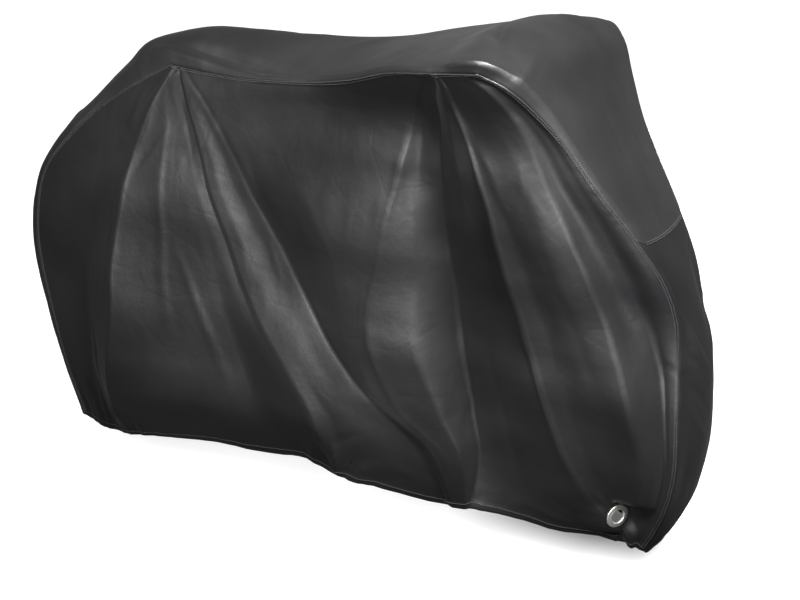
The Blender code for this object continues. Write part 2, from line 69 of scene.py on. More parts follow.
# The gusset from the rear hem, up the back, along the top and down the front. Heights above the floor.
# centreX, centreZ, edgeX, edgeY, edgeZ, seamX, seamY, seamZ, fullness
gusset = {
    "rear hem": (-.765, .070, -.735, .036, .078, -.705, .062, .092, 2),
    "rear tyre, low": (-.815, .205, -.772, .046, .215, -.742, .078, .235, 2),
    "rear tyre": (-.850, .340, -.806, .046, .350, -.772, .080, .370, 2),
    "mudguard": (-.873, .560, -.828, .046, .570, -.792, .082, .585, 2),
    "slope, foot": (-.835, .693, -.788, .050, .700, -.752, .085, .715, 2),
    "slope": (-.733, .813, -.682, .056, .814, -.655, .088, .812, 2),
    "slope, middle": (-.633, .894, -.584, .062, .892, -.556, .092, .886, 2),
    "slope, top": (-.530, .975, -.490, .072, .968, -.450, .098, .945, 2),
    "rear corner": (-.444, 1.033, -.372, .088, 1.026, -.354, .100, .992, 2.2),
    "saddle, rear": (-.330, 1.060, -.300, .100, 1.022, -.294, .106, .986, 2),
    "saddle, nose": (-.200, 1.064, -.200, .112, 1.004, -.196, .118, .980, 1.8),
    "top, rear": (-.070, 1.062, -.070, .136, .996, -.070, .140, .985, 1.7),
    "top, middle": (.045, 1.062, .045, .158, 1.004, .045, .162, .995, 1.7),
    "top, front": (.140, 1.068, .140, .190, 1.022, .140, .196, 1.012, 1.9),
    "behind the levers": (.245, 1.088, .250, .236, 1.050, .252, .242, 1.040, 2.2),
    "brake levers": (.350, 1.104, .350, .282, 1.062, .350, .286, 1.052, 2.4),
    "grips": (.445, 1.112, .476, .320, 1.083, .460, .316, 1.062, 2.6),
    "before the grips": (.508, 1.078, .514, .282, 1.058, .500, .292, 1.040, 2.4),
    "shoulder": (.552, 1.000, .558, .222, .996, .545, .240, .985, 2),
    "shoulder, low": (.600, .918, .597, .184, .922, .583, .205, .930, 2),
    "head tube": (.652, .836, .647, .152, .840, .632, .175, .852, 2),
    "cross seam": (.715, .735, .710, .106, .740, .700, .132, .752, 2),
    "above the tyre": (.762, .650, .752, .070, .650, .750, .098, .664, 2),
    "tyre, top": (.792, .580, .780, .058, .580, .770, .084, .600, 2),
    "tyre, front": (.815, .500, .800, .062, .500, .782, .095, .510, 2),
    "axle height": (.824, .400, .806, .075, .400, .793, .114, .408, 2),
    "tyre, low": (.820, .300, .803, .075, .300, .796, .112, .300, 2),
    "under the tyre": (.797, .190, .786, .060, .195, .776, .088, .205, 2),
    "front tuck": (.757, .115, .755, .045, .122, .748, .058, .135, 2),
    "front hem": (.722, .066, .722, .022, .070, .720, .035, .080, 2),
}

# The elastic hem of a side panel, rear to front: x, stand-off from the middle, height
hem = (
    (-.705, .062, .092), (-.629, .085, .087), (-.563, .100, .094), (-.401, .120, .124),
    (-.245, .140, .154), (-.133, .160, .168), (-.057, .175, .182), (.016, .185, .193),
    (.083, .190, .175), (.187, .180, .161), (.316, .150, .137), (.388, .130, .132),
    (.478, .100, .117), (.560, .080, .105), (.640, .055, .104), (.720, .035, .080),
)

# Folds of the near panel at eight depths: where each runs along the panel (0 rear, 1 front) and how
# far, in mm, it stands out. The last number is how sharp it is.
foldDepths = (0.0, 0.10, 0.28, 0.48, 0.64, 0.78, 0.86, 1.0)
nearFolds = {
    "rear tuck": ((.010, .018, .041, .080, .073, .059, .050, .035), (0, 4, 9, 15, 8, 6, 5, 0), 0.5),
    "rear flank": ((.012, .051, .099, .127, .107, .081, .066, .055), (0, 12, 20, 26, 13, 4, 1, 2), 0.4),
    "rear low fold": ((.014, .066, .134, .146, .120, .094, .080, .082), (0, 16, 32, 36, 22, 9, 3, -3), 0.6),
    "cone, left": ((.016, .082, .162, .211, .209, .177, .151, .105), (0, 18, 49, 91, 109, 95, 72, 4), 1.0),
    "cone, middle": ((.022, .111, .220, .273, .271, .253, .236, .165), (0, 16, 43, 73, 81, 80, 69, 4), 0.3),
    "cone, right": ((.026, .142, .272, .348, .380, .406, .426, .450), (0, 15, 34, 52, 39, 24, 25, 6), 0.7),
    "stay crease": ((.030, .148, .286, .369, .420, .483, .526, .560), (0, 15, 35, 46, 36, 38, 39, 0), 1.0),
    "pedal crest": ((.036, .163, .306, .391, .449, .515, .558, .572), (0, 15, 32, 40, 30, 29, 23, 8), 1.0),
    "pedal slope": ((.042, .181, .329, .421, .486, .561, .602, .628), (0, 14, 26, 28, 20, 20, 16, 0), 0.3),
    "pedal valley": ((.050, .197, .350, .448, .521, .604, .672, .722), (0, 13, 25, 25, 17, 16, 0, -10), 0.9),
    "belly, left": ((.140, .303, .460, .554, .581, .618, .690, .732), (0, 9, 26, 64, 37, 16, 6, 0), 0.5),
    "drop crest": ((.846, .748, .688, .640, .612, .640, .706, .740), (0, -1, 37, 73, 46, 14, 5, 0), 0.8),
    "drop middle": ((.862, .761, .715, .683, .677, .702, .729, .748), (0, -3, 21, 57, 40, 6, 0, 0), 0.3),
    "drop valley": ((.876, .798, .755, .720, .717, .723, .736, .753), (0, 0, 21, 16, -40, -71, -63, -6), 0.9),
    "shadow": ((.880, .836, .801, .766, .771, .775, .786, .810), (0, 30, 62, 54, 6, -33, -36, -8), 0.5),
    "lever, left": ((.883, .848, .833, .806, .828, .846, .858, .890), (0, 30, 67, 70, 45, 12, 1, 0), 0.4),
    "lever crest": ((.888, .854, .839, .818, .834, .858, .891, .962), (0, 30, 70, 95, 48, 16, 8, 4), 1.0),
    "lever, right": ((.892, .863, .860, .846, .867, .889, .914, .966), (0, 26, 68, 86, 48, 10, 1, 0), 0.5),
    "grip hollow": ((.925, .919, .909, .892, .908, .921, .934, .972), (0, 30, 67, 98, 62, 17, 6, 0), 0.2),
    "grip crest": ((.945, .958, .937, .925, .948, .961, .965, .980), (0, 27, 51, 92, 76, 34, 21, 4), 0.3),
    "grip fall": ((.960, .972, .949, .936, .963, .976, .977, .984), (0, 14, 18, 34, 34, 22, 14, 2), 0.2),
    "grip valley": ((.972, .985, .976, .959, .978, .984, .986, .989), (0, 6, 14, 18, -14, -9, -6, 0), 0.7),
    "seam rise": ((.988, .994, .990, .983, .989, .991, .993, .995), (0, 4, 8, 18, -4, -4, -3, 0), 0.3),
}
# Narrow nips where a fold of the near panel is creased along its whole line: rise, and reach behind
# and ahead, in mm
nearNips = {
    "cone, left": (1.0, 9, 9), "stay crease": (-2.8, 26, 6), "pedal valley": (-1.2, 10, 8),
    "drop crest": (1.0, 12, 12), "drop valley": (-2.2, 20, 8), "lever, left": (-1.6, 9, 8),
    "lever crest": (4.2, 16, 7), "grip valley": (-3.0, 8, 8),
}
farFolds = {
    "rear flank": ((.020, .060, .120, .150, .140, .120, .105, .090), (0, 12, 28, 32, 24, 10, 6, 2), 0.5),
    "cone, left": ((.028, .090, .185, .215, .200, .180, .165, .150), (0, 24, 44, 46, 36, 20, 10, 4), 0.8),
    "cone, right": ((.034, .130, .262, .312, .340, .360, .375, .400), (0, 12, 26, 30, 28, 22, 14, 4), 0.6),
    "stay crease": ((.042, .160, .290, .345, .385, .415, .432, .470), (0, 2, 8, 8, 4, 0, -2, 0), 1.0),
    "pedal crest": ((.050, .178, .310, .390, .440, .470, .490, .520), (0, 14, 32, 38, 36, 28, 18, 6), 0.9),
    "pedal valley": ((.070, .210, .370, .450, .495, .530, .550, .590), (0, 2, 8, 4, -2, -10, -12, -6), 0.8),
    "belly": ((.470, .480, .520, .560, .590, .620, .640, .660), (0, 8, 16, 20, 18, 12, 6, 0), 0.3),
    "drop crest": ((.830, .760, .695, .655, .650, .670, .690, .710), (0, 18, 30, 32, 26, 18, 10, 0), 0.6),
    "drop valley": ((.868, .806, .760, .735, .735, .750, .760, .780), (0, -8, -10, -10, -14, -16, -14, -4), .9),
    "lever crest": ((.890, .850, .830, .815, .825, .850, .870, .910), (0, 16, 24, 22, 16, 12, 10, 2), 0.9),
    "grip hollow": ((.925, .905, .880, .865, .880, .900, .915, .950), (0, 10, 16, 10, 2, 0, 2, 0), 0.3),
    "grip crest": ((.948, .943, .918, .900, .920, .945, .955, .970), (0, 18, 32, 34, 28, 20, 14, 4), 0.5),
    "grip valley": ((.972, .974, .962, .956, .970, .980, .983, .986), (0, -8, -6, 0, 4, 2, 0, 0), 0.7),
}


def hermite(knots, values, leaving, arriving, part, where):
    step = (knots[part + 1] - knots[part])[..., None]
    f = (where - knots[part])[..., None] / step
    return ((2 * f**3 - 3 * f**2 + 1) * values[part] + (f**3 - 2 * f**2 + f) * step * leaving[part]
            + (3 * f**2 - 2 * f**3) * values[part + 1] + (f**3 - f**2) * step * arriving[part + 1])


def partOf(knots, where):
    # the stretch between two knots that each place lies in
    return np.clip(np.searchsorted(knots, where, side="right") - 1, 0, len(knots) - 2)


def evenSlope(slope):
    # slopes at the inner knots that keep a curve from overshooting there
    before, after = slope[:-1], slope[1:]
    product = before * after
    return np.where(product > 0, 2 * product / np.where(product > 0, before + after, 1), 0)


def monotone(knots, values, where):
    # curve through values that never overshoots between its knots
    knots, values = np.asarray(knots, float), np.asarray(values, float)
    slope = np.diff(values) / np.diff(knots)
    tangent = np.concatenate([slope[:1], evenSlope(slope), slope[-1:]])[:, None]
    return hermite(knots, values[:, None], tangent, tangent, partOf(knots, where), np.asarray(where))[:, 0]


def smoothCurve(knots, values, where):
    step = np.diff(knots)
    slope = np.diff(values, axis=0) / step[:, None]
    share = (step[:-1] / (step[:-1] + step[1:]))[:, None]
    tangent = np.concatenate([slope[:1], slope[:-1] * (1 - share) + slope[1:] * share, slope[-1:]])
    return hermite(knots, values, tangent, tangent, partOf(knots, where), where)


def foldProfile(knots, values, sharp, part, where):
    # a soft fold is rounded, a sharp one is creased
    slope = np.diff(values) / np.diff(knots)
    soft = evenSlope(slope)
    leaving = np.concatenate([slope[:1], soft + (slope[1:] - soft) * sharp[1:-1], slope[-1:]])
    arriving = np.concatenate([slope[:1], soft + (slope[:-1] - soft) * sharp[1:-1], slope[-1:]])
    return hermite(knots, values[:, None], leaving[:, None], arriving[:, None], part, where)[:, 0]


def ease(share):
    share = np.clip(share, 0, 1)
    return share * share * (3 - 2 * share)


def gridNormals(grid):
    n = np.cross(np.gradient(grid, axis=0), np.gradient(grid, axis=1))
    return n / np.maximum(np.linalg.norm(n, axis=2, keepdims=True), 1e-12)


def arcLength(points):
    return np.concatenate([[0], np.cumsum(np.linalg.norm(np.diff(points, axis=0), axis=1))])


def runAlong(grid, axis):
    # distance along the cloth from the grid's first row (axis 0) or its first column (axis 1)
    steps = np.linalg.norm(np.diff(grid, axis=axis), axis=2)
    return np.concatenate([0 * steps.take([0], axis), np.cumsum(steps, axis=axis)], axis)


def between(where, run, values):
    # the point or direction at a place along a line
    return np.array([np.interp(where, run, values[:, i]) for i in range(3)])


# the seam line that gusset and side panels share
stations = np.array(list(gusset.values()))
places = list(gusset)
seamPoints = np.stack([stations[:, 5], -stations[:, 6], stations[:, 7]], 1)
seamLength = arcLength(seamPoints)[-1]
seamKnots = arcLength(seamPoints) / seamLength
corners = (0, places.index("rear corner"), places.index("grips"), len(places) - 1)
rearEnd, gripEnd = seamKnots[corners[1]], seamKnots[corners[2]]
crossSeam = seamKnots[places.index("cross seam")]
hemPoints = np.array(hem) * (1, -1, 1)
hemKnots = arcLength(hemPoints) / arcLength(hemPoints)[-1]


def seamLine(u):
    u = np.asarray(u, float)
    points = np.zeros(u.shape + (3,))
    for first, last in zip(corners[:-1], corners[1:]):
        onRun = (u >= seamKnots[first] - 1e-9) & (u <= seamKnots[last] + 1e-9)
        points[onRun] = smoothCurve(seamKnots[first:last + 1], seamPoints[first:last + 1], u[onRun])
    return points


def panelPatch(s, t):
    # a side panel stretched between the seam line and the hem: s runs from rear to front, t down
    nearRear = seamLine(rearEnd * (1 - t))
    nearFront = seamLine(gripEnd + (1 - gripEnd) * t)
    top = seamLine(rearEnd + (gripEnd - rearEnd) * s)
    ends = seamLine(np.array([rearEnd, gripEnd, 0.0, 1.0]))
    low = smoothCurve(hemKnots, hemPoints, s)
    s, t = s[:, None], t[:, None]
    return ((1 - s) * nearRear + s * nearFront + (1 - t) * top + t * low
            - (1 - s) * (1 - t) * ends[0] - s * (1 - t) * ends[1] - (1 - s) * t * ends[2] - s * t * ends[3])


panel = {
    "length": 1.38,  # mean run from the rear seam to the front seam
    "height": 0.95,
    "edgeRows": (0.0025, 0.005, 0.0085, 0.0125, 0.984, 0.9875, 0.995),  # more rows at the seam and hem
    "foldGap": 0.0012,  # folds keep this share of the panel apart
    "seamPuckers": 110,  # short creases square to the seams
    "hemGathers": 46,
    "strayLines": 60,
    "dip": (1.6, 0.0022),  # at the seams: depth, width
    "lapFade": 0.004,  # the lap ends this near the hem
    # soft unevenness: wavelength, height, stretch
    "waves": ((0.16, 0.0014, (0.8, 1, 1.8)), (0.055, 0.0005, (0.7, 1, 1.8)), (0.022, 0.00020, (0.8, 1, 1.5))),
}
strip = {
    "rows": 45,  # rows of the mesh from edge to edge of the gusset
    "crowding": 0.42,  # how strongly they crowd towards its edges, 0.5 at most
    "seamAcross": 1.15,  # its edges lie at -1 and 1 across it, its seams at -1.15 and 1.15
    "seamRows": (-1.145, -1.12, -1.07),
    "lapColumns": (-0.0030, -0.0018, -0.0008, 0, 0.0008, 0.0018),  # more columns at the cross seam
    "lapWidth": 0.008,
    "cellStretch": 1.25,  # its columns are this much wider apart than the panel's
    "puckers": 150,
    "creaseFade": 0.012,  # its creases die out this near the seams
    "dip": (1.4, 0.0024),
    "waves": ((0.17, 0.0026, (1.3, 1, 1)), (0.06, 0.0010, (1.3, 1, 1)), (0.024, 0.00035, (1, 1, 1))),
}


def panelGrid(folds, cell):
    # rows run down the panel, columns follow its folds
    at = np.array([f[0] for f in folds.values()])
    out = np.array([f[1] for f in folds.values()]) * millimetre
    sharp = np.concatenate([[0], [f[2] for f in folds.values()], [0]])
    middle = np.concatenate([[0], at[:, 2:6].mean(1), [1]])
    cuts = np.maximum(3, np.round(np.diff(middle) * panel["length"] / cell)).astype(int)
    even = np.linspace(0, 1, int(panel["height"] / cell))
    depths = np.unique(np.concatenate([even, panel["edgeRows"]]))
    lines = np.array([monotone(foldDepths, line, depths) for line in at])
    stand = np.array([monotone(foldDepths, line, depths) for line in out])
    part = np.concatenate([np.full(n, i) for i, n in enumerate(cuts)] + [[len(cuts) - 1]])
    inner = np.concatenate([np.arange(n) / n for n in cuts] + [[1.0]])
    rows, spots = [], []
    for number, depth in enumerate(depths):
        knots = np.concatenate([[0], lines[:, number], [1]])
        knots = np.maximum.accumulate(knots + np.arange(len(knots)) * 1e-9)
        for i in range(1, len(knots)):
            knots[i] = max(knots[i], knots[i - 1] + panel["foldGap"])
        knots = knots / knots[-1]
        values = np.concatenate([[0], stand[:, number], [0]])
        s = knots[part] + (knots[part + 1] - knots[part]) * inner
        points = panelPatch(s, np.full(len(s), depth))
        points[:, 1] -= foldProfile(knots, values, sharp, part, s)
        rows.append(points)
        spots.append(s)
    return np.array(rows), np.array(spots), depths


def stripGrid(across, along):
    # the gusset as a grid: rows run from near seam to far seam, columns from rear hem to front hem
    form = smoothCurve(seamKnots, stations[:, [0, 1, 2, 3, 4, 8]], along)
    near = seamLine(along)
    rise = np.abs(across)[:, None] ** form[:, 5][None]
    x = form[:, 0] + (form[:, 2] - form[:, 0]) * rise
    z = form[:, 1] + (form[:, 4] - form[:, 1]) * rise
    inner = np.stack([x, form[:, 3] * across[:, None], z], 2)
    return np.concatenate([near[None], inner, near[None] * (1, -1, 1)], 0)


def pointAt(grid, rowSpots, columnSpots, row, column):
    # the grid's point at a place given by its row and column values
    r = np.interp(row, rowSpots, np.arange(len(rowSpots)))
    low = int(min(max(math.floor(r), 0), len(rowSpots) - 2))
    f = r - low
    spots = columnSpots if columnSpots.ndim == 1 else columnSpots[low] * (1 - f) + columnSpots[low + 1] * f
    c = np.interp(column, spots, np.arange(len(spots)))
    left = int(min(max(math.floor(c), 0), len(spots) - 2))
    g = c - left
    return ((grid[low, left] * (1 - g) + grid[low, left + 1] * g) * (1 - f)
            + (grid[low + 1, left] * (1 - g) + grid[low + 1, left + 1] * g) * f)


def addCrease(height, grid, normals, path, rise, behind, ahead, sharp, ends):
    # a ridge (rise above 0) or groove along a path; behind and ahead are its reaches to either side, in m
    path = np.array(path)
    run = arcLength(path)
    best = np.full(grid.shape[:2], 1e9)
    signed = np.zeros(grid.shape[:2])
    spot = np.zeros(grid.shape[:2])
    for a, b, start, length in zip(path[:-1], path[1:], run[:-1], np.diff(run)):
        way = (b - a) / max(length, 1e-9)
        offset = grid - a
        f = np.clip(offset @ way, 0, length)
        gap = offset - f[..., None] * way
        distance = np.linalg.norm(gap, axis=2)
        side = np.sign(np.einsum("ijk,ijk->ij", np.cross(way, gap), normals))
        nearer = distance < best
        best = np.where(nearer, distance, best)
        signed = np.where(nearer, distance * side, signed)
        spot = np.where(nearer, (start + f) / run[-1], spot)
    reach = np.where(signed < 0, behind, ahead)
    body = np.clip(1 - np.abs(signed) / reach, 0, 1) ** sharp
    first, last = ends
    taper = np.interp(spot, (0, 0.2, 0.5, 0.8, 1), (first, 0.5 * (first + 1), 1, 0.5 * (last + 1), last))
    height += rise * body * taper


def softNoise(grid, size, seed, stretch):
    # smooth unevenness of the cloth between -1 and 1, at a wavelength near size
    shift = Vector((seed * 7.31, seed * 3.17, seed * 5.77))
    flat = grid.reshape(-1, 3) / size / np.array(stretch)
    values = [noise.noise(Vector(p) + shift) for p in flat]
    return np.array(values).reshape(grid.shape[:2])


def addWaves(height, grid, waves, seed, calm):
    for number, (size, rise, stretch) in enumerate(waves):
        height += softNoise(grid, size, seed + number, stretch) * rise * calm


eyeletSeat = {
    "azimuth": 54, "rise": -4,  # the way that the near eyelet faces, in degrees
    "overCloth": 0.001,  # the cloth's outer face lies this far out from the middle of the eyelet's box
    "flatInner": 0.030,  # the cloth is flat this far around the eyelet ...
    "flatOuter": 0.062,  # ... and free of it from here on
    "heightShare": 0.4,  # share of a point's height over the eyelet's plane that counts as distance
    "seamReach": 0.034,  # the cloth this near the front seam hangs from the seam
    "hole": 0.0182,  # the cloth is cut away this far around the middle
    "otherLayer": 0.05,  # cloth this far off the plane isn't the eyelet's
}


def eyeletFrame(side):
    # the middle of the cloth's outer face at the CAD's eyelet, and the way that the eyelet faces
    azimuth, rise = math.radians(eyeletSeat["azimuth"]), math.radians(eyeletSeat["rise"])
    ahead, aside = math.sin(azimuth) * math.cos(rise), math.cos(azimuth) * math.cos(rise)
    normal = np.array([ahead, aside * side, math.sin(rise)])
    low, high = [np.array(corner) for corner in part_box("eyelet_near" if side < 0 else "eyelet_far")]
    return (low + high) / 2 + normal * eyeletSeat["overCloth"], normal


def flattenAtEyelet(grid):
    # draws a near panel's cloth onto the eyelet's plane, but leaves it sewn at the front seam
    centre, normal = eyeletFrame(-1)
    inner, outer = eyeletSeat["flatInner"], eyeletSeat["flatOuter"]
    offset = grid - centre
    height = offset @ normal
    distance = np.linalg.norm(offset - height[..., None] * normal, axis=-1)
    hold = ease((outer - np.hypot(distance, height * eyeletSeat["heightShare"])) / (outer - inner))
    hold *= ease(np.linalg.norm(grid - grid[:, -1:], axis=-1) / eyeletSeat["seamReach"])
    apart = np.abs(height) * (np.abs(height) > eyeletSeat["otherLayer"])
    return grid - (hold * height)[..., None] * normal, distance + apart


def placed(name, data):
    thing = bpy.data.objects.new(name, data)
    bpy.context.scene.collection.objects.link(thing)
    return thing


def meshFrom(bm, name):
    mesh = bpy.data.meshes.new(name)
    bm.to_mesh(mesh)
    bm.free()
    return mesh


def clothSheet(name, grid, metres, keep=None):
    # a sheet from a grid on its outer face, thickened inwards; metres are its flat coordinates
    rows, columns = grid.shape[:2]
    number = np.arange(rows * columns).reshape(rows, columns)
    corner = np.stack([number[:-1, :-1], number[1:, :-1], number[1:, 1:], number[:-1, 1:]], 2).reshape(-1, 4)
    if keep is not None:
        whole = keep[:-1, :-1] & keep[1:, :-1] & keep[1:, 1:] & keep[:-1, 1:]
        corner = corner[whole.reshape(-1)]
    used, corner = np.unique(corner, return_inverse=True)
    mesh = bpy.data.meshes.new(name)
    mesh.from_pydata(grid.reshape(-1, 3)[used].tolist(), [], corner.reshape(-1, 4).tolist())
    flat = mesh.uv_layers.new(name="flat")
    loops = np.empty(len(mesh.loops), np.int32)
    mesh.loops.foreach_get("vertex_index", loops)
    flat.data.foreach_set("uv", metres.reshape(-1, 2)[used][loops].reshape(-1))
    mesh.shade_smooth()
    sheet = placed(name, mesh)
    shell = sheet.modifiers.new("thickness", "SOLIDIFY")
    shell.thickness = cloth["thickness"]
    shell.offset = -1
    return sheet


def flatCoordinates(grid):
    across = runAlong(grid, 1)
    across -= across[:, grid.shape[1] // 2][:, None]
    return np.stack([across, runAlong(grid, 0)], 2)


def sheetArea(grid):
    a = grid[1:, 1:] - grid[:-1, :-1]
    b = grid[1:, :-1] - grid[:-1, 1:]
    return float(np.linalg.norm(np.cross(a, b), axis=2).sum() / 2)


def softStep(distance, width):
    # 1 closer than width, 0 farther
    return 1 / (1 + np.exp((distance - width) / cloth["lipEdge"]))


def seamDip(distance, depth, width):
    # the cloth dips to the seam itself; the depth is a share of the lip
    return cloth["seamLip"] * depth * np.clip(1 - distance / width, 0, 1) ** 2


# creases that cross the main folds: path as (place, depth), rise, reach behind and ahead in mm, sharpness
nearCreases = [
    # pleat
    ([(.972, .10), (.945, .17), (.905, .28), (.862, .36), (.829, .43), (.822, .56)], 2.6, 12, 6, 1.3),
    ([(.553, .915), (.570, .885), (.590, .858)], -4, 16, 12, 1.4),  # nick beside the pedal
    ([(.018, .06), (.060, .14), (.100, .21), (.138, .33)], 5, 5, 30, 1.2),  # edge of the rear tuck
    ([(.040, .05), (.150, .22), (.200, .42), (.205, .66)], 2, 24, 18, 1.6),
    ([(.045, .05), (.185, .21), (.262, .40), (.290, .62), (.300, .80)], 1.8, 26, 14, 1.6),
    ([(.300, .52), (.340, .66), (.372, .80), (.400, .92)], 2.6, 20, 14, 1.4),
    # dark fold above the rear tyre
    ([(.100, .99), (.103, .90), (.112, .80), (.120, .72)], -9, 16, 9, 1.2),
    ([(.070, 1), (.078, .92), (.080, .84)], 5, 16, 12, 1.4),
    ([(.128, 1), (.128, .94), (.135, .86)], 4, 14, 20, 1.4),
    ([(.500, 1), (.492, .955), (.478, .90)], -5, 10, 14, 1.3),  # gathers under the pedal
    ([(.522, 1), (.514, .95), (.500, .89)], 6, 12, 10, 1.2),
    ([(.540, 1), (.536, .945), (.525, .88)], -8, 11, 13, 1.2),
    ([(.556, 1), (.558, .94), (.556, .88)], 7, 11, 12, 1.2),
    ([(.572, 1), (.580, .95), (.590, .91)], -6, 10, 13, 1.3),
    ([(.590, 1), (.604, .955), (.622, .92)], 5, 12, 14, 1.3),
    ([(.612, 1), (.630, .965), (.650, .945)], -3, 12, 14, 1.4),
    # folds that run from the front tip
    ([(.984, 1), (.962, .955), (.930, .905), (.900, .86)], 6, 9, 12, 1.2),
    ([(.975, 1), (.940, .965), (.895, .935), (.850, .91)], -6, 11, 12, 1.2),
    ([(.966, 1), (.925, .978), (.870, .962), (.820, .955)], 4, 9, 12, 1.3),
    ([(.990, 1), (.982, .94), (.975, .86), (.972, .79)], -5, 9, 10, 1.3),
    ([(.950, 1), (.935, .985), (.910, .978)], -4, 9, 10, 1.3),
    ([(.760, .60), (.772, .72), (.790, .84), (.830, .95)], -4, 30, 20, 1.6),
    ([(.700, .30), (.690, .42), (.676, .54)], 2.4, 26, 12, 1.5),
    ([(.742, .66), (.726, .74), (.716, .80), (.722, .90)], 3, 12, 18, 1.3),
    ([(.620, .90), (.650, .93), (.700, .955)], 2, 18, 18, 1.6),
    ([(.350, .22), (.430, .40), (.505, .58)], -3, 34, 26, 1.7),
    ([(.560, .05), (.640, .085), (.700, .08)], -2.4, 20, 26, 1.7),
    ([(.880, .44), (.895, .56), (.915, .68)], -2.5, 30, 20, 1.7),
    ([(.850, .12), (.868, .24), (.860, .36)], 2.2, 14, 20, 1.5),
]
# the same on the gusset, with paths as (across, along)
gussetCreases = [
    ([(-.62, .352), (-.90, .386), (-1.00, .440)], -8, 30, 20, 1.4),  # valley behind the saddle
    ([(-.30, .365), (-.75, .346), (-1.13, .331)], 4, 26, 16, 1.4),  # tuck that turns down the back
    ([(-.72, .368), (-.86, .400), (-.91, .425), (-.99, .475)], -9, 24, 22, 1.4),
    ([(-.20, .612), (-.52, .623), (-.84, .636)], -17, 24, 18, 1.3),  # hollow behind the grip
    ([(-.45, .640), (-.75, .646), (-1.00, .650)], 6, 20, 24, 1.4),
    # dents in the edge over the brake levers
    ([(-1.02, .596), (-1.03, .622), (-1.02, .652)], -4.5, 13, 13, 1.4),
    ([(-.88, .600), (-1.10, .606)], -4, 10, 12, 1.3),
    ([(-.90, .634), (-1.10, .640)], -4, 12, 10, 1.3),
    ([(.30, .598), (.60, .612), (.88, .630)], -9, 26, 22, 1.4),
    ([(.78, .356), (.95, .380), (1.12, .415)], -7, 30, 16, 1.4),
    ([(-1.12, .800), (-.55, .846), (.12, .868)], 6, 26, 12, 1.2),  # fold round the front of the tyre
    ([(-1.12, .858), (-.60, .876), (-.10, .890)], -4, 12, 14, 1.3),
    ([(-1.12, .872), (-.50, .900), (.05, .915)], 3.5, 14, 12, 1.3),
    ([(-1.12, .842), (-.75, .852), (-.45, .862)], -3, 10, 10, 1.3),
    ([(1.12, .81), (.55, .846), (-.05, .872)], 4, 24, 14, 1.4),
    ([(.05, .672), (.00, .710), (-.20, .762)], -6, 60, 45, 1.8),
    ([(.55, .668), (.50, .705), (.42, .760)], 4, 50, 40, 1.8),
    ([(-.40, .18), (.00, .21), (.45, .235)], -5, 30, 20, 1.5),
    ([(-.80, .245), (-.20, .262), (.40, .268)], 3, 26, 20, 1.5),
    ([(-.6, .93), (-.2, .975), (.0, 1)], -5, 14, 14, 1.3),
    ([(.5, .94), (.2, .98), (.1, 1)], 4, 14, 14, 1.3),
    ([(-.9, .96), (-.55, .985), (-.4, 1)], 4, 10, 12, 1.3),
    ([(-.5, .0), (-.4, .03), (-.5, .07)], -4, 14, 14, 1.3),
    ([(.3, .0), (.2, .03), (.35, .08)], 4, 14, 14, 1.3),
    ([(-.85, .46), (-.3, .50), (.2, .53)], 2, 40, 34, 1.8),
    ([(-.2, .42), (.2, .45), (.5, .49)], -2.5, 40, 30, 1.8),
]


def puckers(draw, number):
    # short creases that leave the top, rear and front seams at uneven spacing
    for i in range(number):
        edge = draw.random()
        length = draw.uniform(0.012, 0.042)
        lean = draw.uniform(-0.010, 0.010)
        rise = draw.choice((-1, 1)) * draw.uniform(0.5, 1.5)
        reach = draw.uniform(3.5, 7.0)
        if edge < 0.42:  # top seam
            place = draw.random()
            path = [(place, 0.004), (place + lean, length)]
        elif edge < 0.78:  # front seam
            depth = 0.05 + 0.9 * draw.random() ** 0.7
            path = [(0.998, depth), (0.998 - length * 0.8, depth + lean)]
        else:  # rear seam
            depth = draw.uniform(0.05, 0.95)
            path = [(0.002, depth), (0.002 + length * 0.8, depth + lean)]
        yield path, rise, reach, reach, 1.4


def gussetPuckers(draw, number):
    # the same on the gusset, square to the seam line that it shares with the near or far panel
    for i in range(number):
        place = draw.uniform(0.03, 0.97)
        side = draw.choice((-1, 1))
        lean = draw.uniform(-0.006, 0.006)
        reach = draw.uniform(4.0, 8.0)
        path = [(side * 1.14, place), (side * draw.uniform(0.70, 0.98), place + lean)]
        yield path, draw.choice((-1, 1)) * draw.uniform(0.8, 2.2), reach, reach, 1.4


def gathers(draw, number):
    # ridges and grooves by turns, up from the hem's elastic
    for i in range(number):
        place = (i + draw.random()) / number
        length = draw.uniform(0.03, 0.085)
        lean = draw.uniform(-0.014, 0.014)
        rise = (1 if i % 2 else -1) * draw.uniform(0.8, 2.6)
        path = [(place, 1.0), (place + lean * 0.4, 1 - length * 0.5), (place + lean, 1 - length)]
        yield path, rise, draw.uniform(7, 13), draw.uniform(7, 13), 1.3


def strayLines(draw, number):
    # faint stress lines, fanning down from the two upper corners
    for i in range(number):
        fromFront = draw.random() < 0.55
        start = draw.uniform(0.08, 0.6)
        length = draw.uniform(0.08, 0.26)
        if fromFront:
            place = draw.uniform(0.60, 0.97)
            slope = (place - 0.95) * 0.35
        else:
            place = draw.uniform(0.08, 0.60)
            slope = place * 0.55
        path = [(place + slope * length * f, start + length * f) for f in (0, 0.5, 1)]
        rise = draw.choice((-1, 1)) * draw.uniform(0.4, 1.3)
        yield path, rise, draw.uniform(8, 20), draw.uniform(8, 20), 1.7


def endHeight(a, b):
    # a crease dies out inside the cloth, but meets a seam or hem at about two thirds of its height
    atBorder = abs(a) < 0.012 or abs(a) > 0.988 or b < 0.012 or b > 0.988
    return 0.65 if atBorder else 0.0


